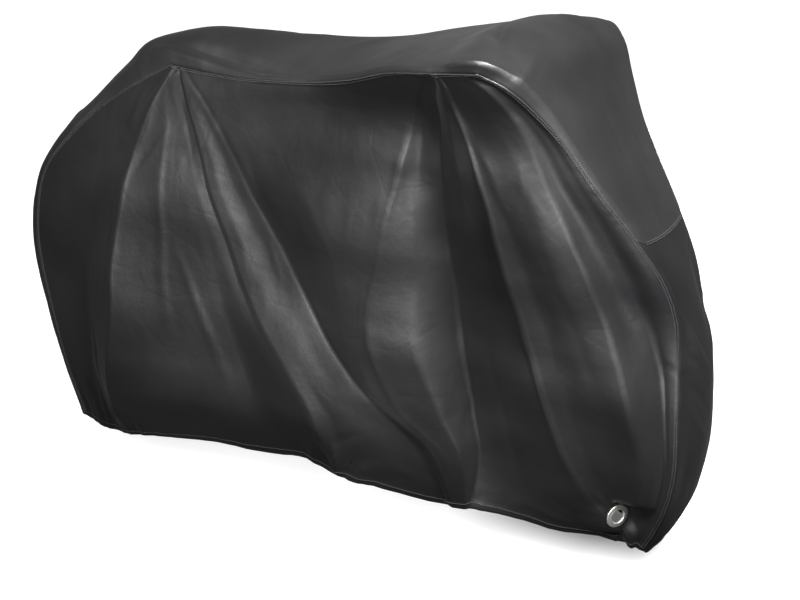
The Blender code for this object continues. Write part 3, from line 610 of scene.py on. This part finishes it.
def crease(grid, normals, rowSpots, columnSpots, rows, swap=False):
    height = np.zeros(grid.shape[:2])
    for path, rise, behind, ahead, sharp in rows:
        points = []
        for a, b in path:
            row, column = (a, b) if swap else (b, a)
            row = min(max(row, rowSpots[0]), rowSpots[-1])
            points.append(pointAt(grid, rowSpots, columnSpots, row, min(max(column, 0), 1)))
        ends = endHeight(*path[0]), endHeight(*path[-1])
        size = [number * millimetre for number in (rise, behind, ahead)]
        addCrease(height, grid, normals, points, *size, sharp, ends)
    return height


def nipLines(folds, nips):
    # creases that follow the folds they are named for
    depths = np.linspace(0.01, 0.985, 26)
    for name, (rise, behind, ahead) in nips.items():
        route = monotone(foldDepths, folds[name][0], depths)
        yield list(zip(route, depths)), rise, behind, ahead, 1.3


def sidePanel(name, folds, cell, side, creases, seed):
    draw = random.Random(seed)
    grid, spots, depths = panelGrid(folds, cell)
    normals = gridNormals(grid)
    lines = [*creases, *puckers(draw, panel["seamPuckers"]), *gathers(draw, panel["hemGathers"]),
             *strayLines(draw, panel["strayLines"])]
    height = crease(grid, normals, depths, spots, lines)
    across, down = runAlong(grid, 1), runAlong(grid, 0)
    fromSeam = np.minimum(np.minimum(across, down), across[:, -1:] - across)
    fromHem = down[-1:] - down
    calm = np.clip(np.minimum(fromSeam, fromHem) / cloth["calmEdge"], 0, 1)
    addWaves(height, grid, panel["waves"], seed, calm)
    grid = grid + normals * height[..., None]
    normals = gridNormals(grid)
    lap = cloth["seamLip"] * softStep(fromSeam, cloth["lipWidth"]) - seamDip(fromSeam, *panel["dip"])
    height = lap * np.clip(fromHem / panel["lapFade"], 0, 1)
    height += cloth["hemRise"] * softStep(fromHem, cloth["hemDepth"])
    grid = grid + normals * height[..., None] - (0, 0, groundDrop)
    flat = flatCoordinates(grid)
    grid, reach = flattenAtEyelet(grid)
    if side > 0:
        grid = (grid * (1, -1, 1))[:, ::-1]
        flat, reach = flat[:, ::-1], reach[:, ::-1]
    sheet = clothSheet(name, grid, flat, reach > eyeletSeat["hole"])
    print(name, grid.shape, "area", round(sheetArea(grid), 3))
    return sheet, grid


def wholeGusset(creases, seed):
    # one strip from hem to hem, cut at the cross seam afterwards
    columns = int(seamLength / (cloth["cell"] * strip["cellStretch"]))
    along = np.unique(np.concatenate([np.linspace(0, 1, columns), crossSeam + np.array(strip["lapColumns"])]))
    swing = math.pi * strip["crowding"]
    across = np.sin(np.linspace(-1, 1, strip["rows"]) * swing) / math.sin(swing)
    grid = stripGrid(across, along)
    edge, fine = strip["seamAcross"], np.array(strip["seamRows"])
    extra = [grid[0] + (grid[1] - grid[0]) * (edge + f) / (edge - 1) for f in fine]
    extraFar = [p * (1, -1, 1) for p in extra[::-1]]
    grid = np.concatenate([grid[:1], extra, grid[1:-1], extraFar, grid[-1:]], 0)
    spots = np.concatenate([[-edge], fine, across, -fine[::-1], [edge]])
    normals = -gridNormals(grid)
    lines = [*creases, *gussetPuckers(random.Random(seed), strip["puckers"])]
    height = crease(grid, normals, spots, along, lines, swap=True)
    fromNear = runAlong(grid, 0)
    fromSeam = np.minimum(fromNear, fromNear[-1:] - fromNear)
    height *= np.clip(fromSeam / strip["creaseFade"], 0, 1)
    addWaves(height, grid, strip["waves"], seed, np.clip(fromSeam / cloth["calmEdge"], 0, 1))
    height -= seamDip(fromSeam, *strip["dip"])
    behind = (crossSeam - along)[None] * seamLength  # the centre piece laps over the front one
    lapped = (behind >= 0) & (behind < strip["lapWidth"])
    height += cloth["seamLip"] * lapped * np.clip(behind / 0.001, 0.2, 1)
    fromHem = np.minimum(along, 1 - along)[None] * seamLength
    height += cloth["hemRise"] * softStep(fromHem, cloth["hemDepth"])
    grid = grid + normals * height[..., None]
    return grid - (0, 0, groundDrop), flatCoordinates(grid), along


def insetLine(grid, edge, distance, lift=0.0004, trim=0.004):
    # a line on the cloth's face that keeps a distance from one of its edges; trim shortens its ends
    turned = {"top": lambda g: g.transpose(1, 0, 2), "hem": lambda g: g[::-1].transpose(1, 0, 2),
              "rear": lambda g: g, "front": lambda g: g[:, ::-1]}[edge]
    nearEdge = 60  # mesh points looked at, counted from the edge
    points = []
    for line, way in zip(turned(grid)[:, :nearEdge], turned(gridNormals(grid))[:, :nearEdge]):
        run = arcLength(line)
        normal = between(distance, run, way)
        points.append(between(distance, run, line) + normal / np.linalg.norm(normal) * lift)
    points = np.array(points)
    run = arcLength(points)
    return points[(run > trim) & (run < run[-1] - trim)]


# materials
def toLinear(hexColour):
    values = [int(hexColour[i:i + 2], 16) / 255 for i in (1, 3, 5)]
    return tuple(v / 12.92 if v <= 0.04045 else ((v + 0.055) / 1.055) ** 2.4 for v in values) + (1,)


def addNode(tree, kind, settings=None, links=None):
    # one node; settings go to its properties or sockets, links come from other nodes' sockets
    node = tree.nodes.new(kind)
    for key, value in (settings or {}).items():
        if isinstance(key, str) and hasattr(node, key):
            setattr(node, key, value)
        else:
            node.inputs[key].default_value = value
    wire(tree, node, links or {})
    return node


def wire(tree, node, links):
    for key, source in links.items():
        tree.links.new(source, node.inputs[key])


def newMaterial(name, settings):
    material = bpy.data.materials.new(name)
    material.use_nodes = True
    shader = material.node_tree.nodes["Principled BSDF"]
    for key, value in settings.items():
        shader.inputs[key].default_value = value
    return material, material.node_tree, shader


def mixedColour(tree, factor, first, second):
    settings = {"data_type": "RGBA", 6: toLinear(first), 7: toLinear(second)}
    return addNode(tree, "ShaderNodeMix", settings, {"Factor": factor}).outputs[2]


def ranged(tree, source, fromLow, fromHigh, toLow, toHigh):
    settings = {"From Min": fromLow, "From Max": fromHigh, "To Min": toLow, "To Max": toHigh}
    return addNode(tree, "ShaderNodeMapRange", settings, {"Value": source}).outputs["Result"]


def bumped(tree, height, strength, distance, below=None):
    links = {"Height": height} if below is None else {"Height": height, "Normal": below}
    settings = {"Strength": strength, "Distance": distance}
    return addNode(tree, "ShaderNodeBump", settings, links).outputs["Normal"]


def noised(tree, where, settings):
    return addNode(tree, "ShaderNodeTexNoise", settings, {"Vector": where}).outputs["Fac"]


polyester = {
    "threadPitch": 0.0011,
    "crinkle": {"Scale": 38.0, "Detail": 4.0, "Roughness": 0.55},
    "packing": {"feature": "DISTANCE_TO_EDGE", "Scale": 9.0},  # lines pressed in while it lay folded small
    "patches": {"Scale": 4.2, "Detail": 3.0, "Roughness": 0.5},
}


def coatedPolyester(name, hexColour, wornHex, roughness, gloss):
    # 210 denier polyester with a polyurethane coat: a broad satin gloss, faint plain weave, soft crinkle
    settings = {"IOR": 1.5, "Specular IOR Level": gloss, "Sheen Weight": 0.01, "Sheen Roughness": 0.45}
    material, tree, shader = newMaterial(name, settings)
    where = addNode(tree, "ShaderNodeTexCoord").outputs["Object"]
    flat = addNode(tree, "ShaderNodeUVMap", {"uv_map": "flat"}).outputs["UV"]
    scale = 0.5 / polyester["threadPitch"] / 3.1416
    waves = []
    for way in ("X", "Y"):
        settings = {"bands_direction": way, "Scale": scale, "Distortion": 0.0}
        waves.append(addNode(tree, "ShaderNodeTexWave", settings, {"Vector": flat}).outputs["Fac"])
    weave = addNode(tree, "ShaderNodeMath", {"operation": "MULTIPLY"}, {0: waves[0], 1: waves[1]})
    pressed = addNode(tree, "ShaderNodeTexVoronoi", polyester["packing"], {"Vector": where})
    patches = noised(tree, where, polyester["patches"])
    colour = mixedColour(tree, ranged(tree, patches, 0.35, 0.7, 0, 1), hexColour, wornHex)
    wear = ranged(tree, patches, 0.3, 0.7, roughness - 0.05, roughness + 0.07)
    normal = bumped(tree, noised(tree, where, polyester["crinkle"]), 0.22, 0.0035)
    normal = bumped(tree, ranged(tree, pressed.outputs["Distance"], 0, 0.05, 0, 1), 0.10, 0.0010, normal)
    normal = bumped(tree, weave.outputs["Value"], 0.10, 0.0003, normal)
    wire(tree, shader, {"Base Color": colour, "Roughness": wear, "Normal": normal})
    return material


def spunThread(name, hexColour):
    # bonded polyester sewing thread: matt black with a dull shine, twisted
    material, tree, shader = newMaterial(name, {"Roughness": 0.85})
    where = addNode(tree, "ShaderNodeTexCoord").outputs["Object"]
    twist = noised(tree, where, {"Scale": 900.0, "Detail": 2.0})
    wire(tree, shader, {"Base Color": mixedColour(tree, twist, hexColour, "#0b0b0c")})
    return material


def nickelPlate(name):
    # nickel plated brass: bright, slightly warm, with fine marks from the setting tool
    material, tree, shader = newMaterial(name, {"Metallic": 1.0})
    where = addNode(tree, "ShaderNodeTexCoord").outputs["Object"]
    marks = noised(tree, where, {"Scale": 420.0, "Detail": 3.0, "Roughness": 0.6})
    wire(tree, shader, {"Base Color": mixedColour(tree, marks, "#f3f2ef", "#e2e0da"),
                        "Roughness": ranged(tree, marks, 0.3, 0.7, 0.40, 0.50),
                        "Normal": bumped(tree, marks, 0.06, 0.0002)})
    return material


sideCloth = coatedPolyester("satin black coated polyester", "#080809", "#0a0a0b", 0.43, 0.50)
# a lighter copy of the same cloth: painted light on the gusset, which faces the lamps more; its higher
# roughness only spreads the sheen
paintedLightGussetCloth = coatedPolyester("satin black coated polyester, gusset", "#0a0a0b", "#0c0c0d", 0.47, 0.50)
# a darker, less glossy copy of the same cloth: painted shade on the front gusset, which faces away from the key
# light
paintedShadeFrontCloth = coatedPolyester("satin black coated polyester, front", "#070708", "#090909", 0.42, 0.43)
threadBlack = spunThread("bonded polyester thread", "#040405")
nickel = nickelPlate("nickel plated brass")


# cloth pieces
nearLines = [*nearCreases, *nipLines(nearFolds, nearNips)]
nearSheet, nearGrid = sidePanel("sideCoverNear", nearFolds, cloth["cell"], -1, nearLines, 3)
farSheet, farGrid = sidePanel("sideCoverFar", farFolds, cloth["farCell"], 1, [], 8)
gussetGrid, gussetFlat, gussetAlong = wholeGusset(gussetCreases, 5)
split = int(np.argmin(np.abs(gussetAlong - crossSeam)))
centreSheet = clothSheet("gussetCoverCentre", gussetGrid[::-1, :split + 1], gussetFlat[::-1, :split + 1])
frontSheet = clothSheet("gussetCoverFront", gussetGrid[::-1, split:], gussetFlat[::-1, split:])
for sheet, material, node, slot in ((nearSheet, sideCloth, "side_near", "side_cloth"),
                                    (farSheet, sideCloth, "side_far", "side_cloth"),
                                    (centreSheet, paintedLightGussetCloth, "gusset_centre", "gusset_cloth"),
                                    (frontSheet, paintedShadeFrontCloth, "gusset_front", "gusset_cloth")):
    sheet.data.materials.append(material)
    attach(sheet, "root")
    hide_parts(node)
print("cloth made")


stitching = {
    "pitch": 0.0046,  # from one stitch to the next
    "length": 0.0040,  # of a stitch, a little more than on a real seam so that they show
    "thread": 0.00075,  # radius
    "sides": 5,
    # rings of one stitch, which dives into the cloth at both ends: along, height and size as shares
    "rings": ((-0.5, -0.7, 0.45), (-0.36, 0.1, 1.0), (0.0, 0.35, 1.1), (0.36, 0.1, 1.0), (0.5, -0.7, 0.45)),
    "sizes": (0.9, 1.08),
    "offsets": (0.0026, 0.0078),  # of the two rows from a side seam
    "crossOffsets": (0.0028, 0.0072),
    "crossLift": (0.0009, 0, 0.0006),  # brings the cross seam's rows onto the lap
}


def stitchMesh():
    bm = bmesh.new()
    length, radius, sides = stitching["length"], stitching["thread"], stitching["sides"]
    turns = [math.tau * k / sides for k in range(sides)]
    loops = []
    for x, z, size in stitching["rings"]:
        ring = [(x * length, math.cos(a) * radius * size, (math.sin(a) * size + z) * radius) for a in turns]
        loops.append([bm.verts.new(point) for point in ring])
    for one, two in zip(loops[:-1], loops[1:]):
        for k in range(sides):
            after = (k + 1) % sides
            bm.faces.new((one[k], two[k], two[after], one[after]))
    bm.faces.new(loops[0])
    bm.faces.new(loops[-1][::-1])
    bmesh.ops.recalc_face_normals(bm, faces=bm.faces)
    mesh = meshFrom(bm, "stitch")
    mesh.shade_smooth()
    return placed("stitch", mesh)


def stitchTree(material):
    # sets a stitch at every pitch along each line, turned along it
    tree = bpy.data.node_groups.new("seam stitches", "GeometryNodeTree")
    for name, way, kind in (("Geometry", "INPUT", "Geometry"), ("Stitch", "INPUT", "Object"),
                            ("Pitch", "INPUT", "Float"), ("Geometry", "OUTPUT", "Geometry")):
        tree.interface.new_socket(name, in_out=way, socket_type="NodeSocket" + kind)
    start = addNode(tree, "NodeGroupInput").outputs
    even = addNode(tree, "GeometryNodeResampleCurve", {"mode": "LENGTH"},
                   {"Curve": start["Geometry"], "Length": start["Pitch"]})
    tangent = addNode(tree, "GeometryNodeInputTangent").outputs["Tangent"]
    turn = addNode(tree, "FunctionNodeAlignRotationToVector", {"axis": "X"}, {"Vector": tangent})
    stitch = addNode(tree, "GeometryNodeObjectInfo", {}, {"Object": start["Stitch"]})
    low, high = stitching["sizes"]
    size = addNode(tree, "FunctionNodeRandomValue", {"data_type": "FLOAT", "Seed": 4, 2: low, 3: high})
    sewn = addNode(tree, "GeometryNodeInstanceOnPoints", {},
                   {"Points": even.outputs["Curve"], "Instance": stitch.outputs["Geometry"],
                    "Rotation": turn.outputs["Rotation"], "Scale": size.outputs[1]})
    real = addNode(tree, "GeometryNodeRealizeInstances", {}, {"Geometry": sewn.outputs["Instances"]})
    painted = addNode(tree, "GeometryNodeSetMaterial", {"Material": material},
                      {"Geometry": real.outputs["Geometry"]})
    addNode(tree, "NodeGroupOutput", {}, {"Geometry": painted.outputs["Geometry"]})
    return tree


def sew(name, lines, stitch, tree):
    curve = bpy.data.curves.new(name, "CURVE")
    curve.dimensions = "3D"
    for line in lines:
        spline = curve.splines.new("POLY")
        spline.points.add(len(line) - 1)
        spline.points.foreach_set("co", np.concatenate([line, np.ones((len(line), 1))], 1).reshape(-1))
    run = placed(name + "Run", curve)
    nodes = run.modifiers.new("stitches", "NODES")
    nodes.node_group = tree
    sockets = {item.name: item.identifier for item in tree.interface.items_tree if item.in_out == "INPUT"}
    nodes[sockets["Stitch"]] = stitch
    nodes[sockets["Pitch"]] = stitching["pitch"]
    bpy.context.view_layer.update()
    made = bpy.data.meshes.new_from_object(run.evaluated_get(bpy.context.evaluated_depsgraph_get()))
    made.name = name
    piece = placed(name, made)
    run.modifiers.remove(nodes)
    bpy.data.objects.remove(run)
    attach(piece, "root")
    return piece


oneStitch = stitchMesh()
seamTree = stitchTree(threadBlack)
seams = {}
for label, grid in (("Near", nearGrid), ("Far", farGrid)):
    rear, front = ("rear", "front") if label == "Near" else ("front", "rear")
    lines = []
    for offset in stitching["offsets"]:
        lines.append(insetLine(grid, "top", offset))
        lines += [insetLine(grid, edge, offset, trim=0.012) for edge in (rear, front)]
    seams[label] = sew("seamStitches" + label, lines, oneStitch, seamTree)
    hemLine = insetLine(grid, "hem", cloth["hemDepth"] - 0.002, trim=0.008)
    seams["hem" + label] = sew("hemStitches" + label, [hemLine], oneStitch, seamTree)
crossLines = []
for back in stitching["crossOffsets"]:
    at = crossSeam - back / seamLength
    line = np.array([between(at, gussetAlong, row) for row in gussetGrid[4:-4]])
    crossLines.append(line + stitching["crossLift"])
seams["cross"] = sew("crossSeamStitches", crossLines, oneStitch, seamTree)
bpy.data.objects.remove(oneStitch)
print("stitched", {k: len(v.data.polygons) for k, v in seams.items()})


eyelet = {
    "outer": 0.0250, "bore": 0.0145, "steps": 72,
    "crown": 0.0021,  # height of the rolled flange over the cloth
    "lip": 0.0030,  # height of the rolled edge round the bore
}


def rolledEyelet(name, side, node):
    # a closed section of radius and height, turned round the bore
    outer, bore = eyelet["outer"], eyelet["bore"]
    crown, lip, back = eyelet["crown"], eyelet["lip"], -cloth["thickness"] - 0.0002
    profile = [(outer + r, z) for r, z in ((0, 0.0001), (0.0001, 0.0006), (-0.0005, 0.0012),
                                           (-0.0016, 0.0016), (-0.0034, crown * 0.95), (-0.0056, crown))]
    profile += [(bore + r, z) for r, z in ((0.0034, lip * 0.86), (0.0022, lip), (0.0010, lip * 0.93),
                                           (0.0002, lip * 0.62), (0, lip * 0.2))]
    profile += [(bore + r, back + z) for r, z in ((0, -0.0016), (0.0004, -0.0024), (0.0014, -0.0027),
                                                  (0.0028, -0.0022), (0.0046, -0.0016))]
    profile += [(outer + r, back + z) for r, z in ((-0.0022, -0.0015), (-0.0004, -0.0011), (0, -0.0004),
                                                   (-0.0004, 0))]
    profile += [(bore + 0.0022, back), (bore + 0.0022, 0.0001)]
    bm = bmesh.new()
    steps = eyelet["steps"]
    turns = [math.tau * k / steps for k in range(steps)]
    rings = [[bm.verts.new((r * math.cos(a), r * math.sin(a), z)) for r, z in profile] for a in turns]
    for k in range(steps):
        one, two = rings[k], rings[(k + 1) % steps]
        for i in range(len(profile)):
            j = (i + 1) % len(profile)
            bm.faces.new((one[i], two[i], two[j], one[j]))
    bmesh.ops.recalc_face_normals(bm, faces=bm.faces)
    centre, normal = eyeletFrame(side)
    turn = Vector((0, 0, 1)).rotation_difference(Vector(normal)).to_matrix().to_4x4()
    bmesh.ops.transform(bm, matrix=Matrix.Translation(Vector(centre)) @ turn, verts=bm.verts)
    mesh = meshFrom(bm, name)
    mesh.shade_smooth()
    mesh.materials.append(nickel)
    piece = placed(name, mesh)
    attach(piece, "root")
    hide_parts(node)
    return piece


nearEyelet = rolledEyelet("lockEyeletNear", -1, "eyelet_near")
farEyelet = rolledEyelet("lockEyeletFar", 1, "eyelet_far")
print("eyelets set")

# flat length, width and area of each sheet, and what is sewn or set into it
sewnSheets = ((nearSheet, 1.62, 1.06, 1.38, [seams["Near"], seams["hemNear"], nearEyelet]),
              (farSheet, 1.62, 1.06, 1.38, [seams["Far"], seams["hemFar"], farEyelet]),
              (centreSheet, 2.50, 0.66, 0.86, [seams["cross"]]), (frontSheet, 0.76, 0.30, 0.15, []))
for sheet, length, width, area, extras in sewnSheets:
    resting = ["sideCoverNear", "sideCoverFar"] if "gusset" in sheet.name else ["gussetCoverCentre"]
    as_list(extras)


# floor, backdrop, light and camera
studio = {
    "middle": (0.30, 0, -0.42),  # what the softboxes are turned to
    # azimuth, elevation, distance, size and power of each softbox
    "softboxes": {"key": (50, 45, 2.4, 1.1, 420), "front": (0, 30, 3.0, 1.3, 285),
                  "back": (190, -5, 3.0, 1.0, 60)},  # low, so that the far side shows too
    "ambient": 0.04,
    "floor": "#9c9c9c", "floorGlow": 0.82, "farGlow": 1.1,
    # the painted shadow on the floor behind the front tip: its stretch and shift, and how dark its middle is
    "shadeStretch": (3.4, 5.5, 0), "shadeShift": (-1.80, -1.05, 0), "shadeDepth": 0.08,
    "wallRadius": 16, "wallHeight": 20,
    "lookAt": (0.145, 0, 0.513 - groundDrop),
    "cameraFrom": (28.0, 19.0, 2.77),  # azimuth, elevation and distance
    "lens": 58.4, "sensor": 36,
}


def around(azimuth, elevation, distance, centre):
    a, e = math.radians(azimuth), math.radians(elevation)
    way = Vector((math.sin(a) * math.cos(e), -math.cos(a) * math.cos(e), math.sin(e)))
    return Vector(centre) + distance * way


def turnedTo(name, data, place, target):
    thing = placed(name, data)
    thing.location = around(*place, target)
    thing.rotation_euler = (Vector(target) - thing.location).to_track_quat("-Z", "Y").to_euler()
    return thing


def softbox(name, azimuth, elevation, distance, size, power):
    light = bpy.data.lights.new(name, "AREA")
    light.size = size
    light.energy = power
    turnedTo(name, light, (azimuth, elevation, distance), studio["middle"])


def studioPaint():
    settings = {"Base Color": toLinear(studio["floor"]), "Roughness": 0.9, "Emission Color": (1, 1, 1, 1)}
    paint, tree, shader = newMaterial("pale studio floor", settings)
    where = addNode(tree, "ShaderNodeTexCoord").outputs["Object"]
    reach = addNode(tree, "ShaderNodeVectorMath", {"operation": "LENGTH"}, {0: where}).outputs["Value"]
    glow = ranged(tree, reach, 0.9, 2.6, studio["floorGlow"], studio["farGlow"])
    # painted shadow: the floor's glow is turned down in an oval behind the front tip
    settings = {"operation": "MULTIPLY_ADD", 1: studio["shadeStretch"], 2: studio["shadeShift"]}
    spread = addNode(tree, "ShaderNodeVectorMath", settings, {0: where}).outputs["Vector"]
    inside = addNode(tree, "ShaderNodeVectorMath", {"operation": "LENGTH"}, {0: spread}).outputs["Value"]
    shade = ranged(tree, inside, 0.30, 1.20, studio["shadeDepth"], 1.0)
    lit = addNode(tree, "ShaderNodeMath", {"operation": "MULTIPLY"}, {0: glow, 1: shade})
    wire(tree, shader, {"Emission Strength": lit.outputs["Value"]})
    return paint


def stageSurface(name, bm, height, paint):
    surface = placed(name, meshFrom(bm, name))
    surface.location = (0, 0, height)
    surface.data.materials.append(paint)
    surface.visible_glossy = False  # this surface shows in no reflection and sends no bounce light, so its light stays off the cloth
    surface.visible_diffuse = False


paint = studioPaint()
bm = bmesh.new()
bmesh.ops.create_grid(bm, x_segments=1, y_segments=1, size=40)
stageSurface("floor", bm, -groundDrop, paint)
bm = bmesh.new()
radius, height = studio["wallRadius"], studio["wallHeight"]
bmesh.ops.create_cone(bm, cap_ends=False, segments=48, radius1=radius, radius2=radius, depth=height)
stageSurface("backdrop", bm, height / 2 - groundDrop, paint)
for name, numbers in studio["softboxes"].items():
    softbox(name, *numbers)
world = bpy.data.worlds.new("studio")
bpy.context.scene.world = world
world.use_nodes = True
ambient = world.node_tree.nodes["Background"]
ambient.inputs["Color"].default_value = toLinear("#ffffff")
ambient.inputs["Strength"].default_value = studio["ambient"]
bpy.context.scene.view_settings.view_transform = "Standard"

cameraData = bpy.data.cameras.new("camera")
cameraData.lens = studio["lens"]
cameraData.sensor_width = studio["sensor"]
bpy.context.scene.camera = turnedTo("camera", cameraData, studio["cameraFrom"], studio["lookAt"])

print("studio ready")
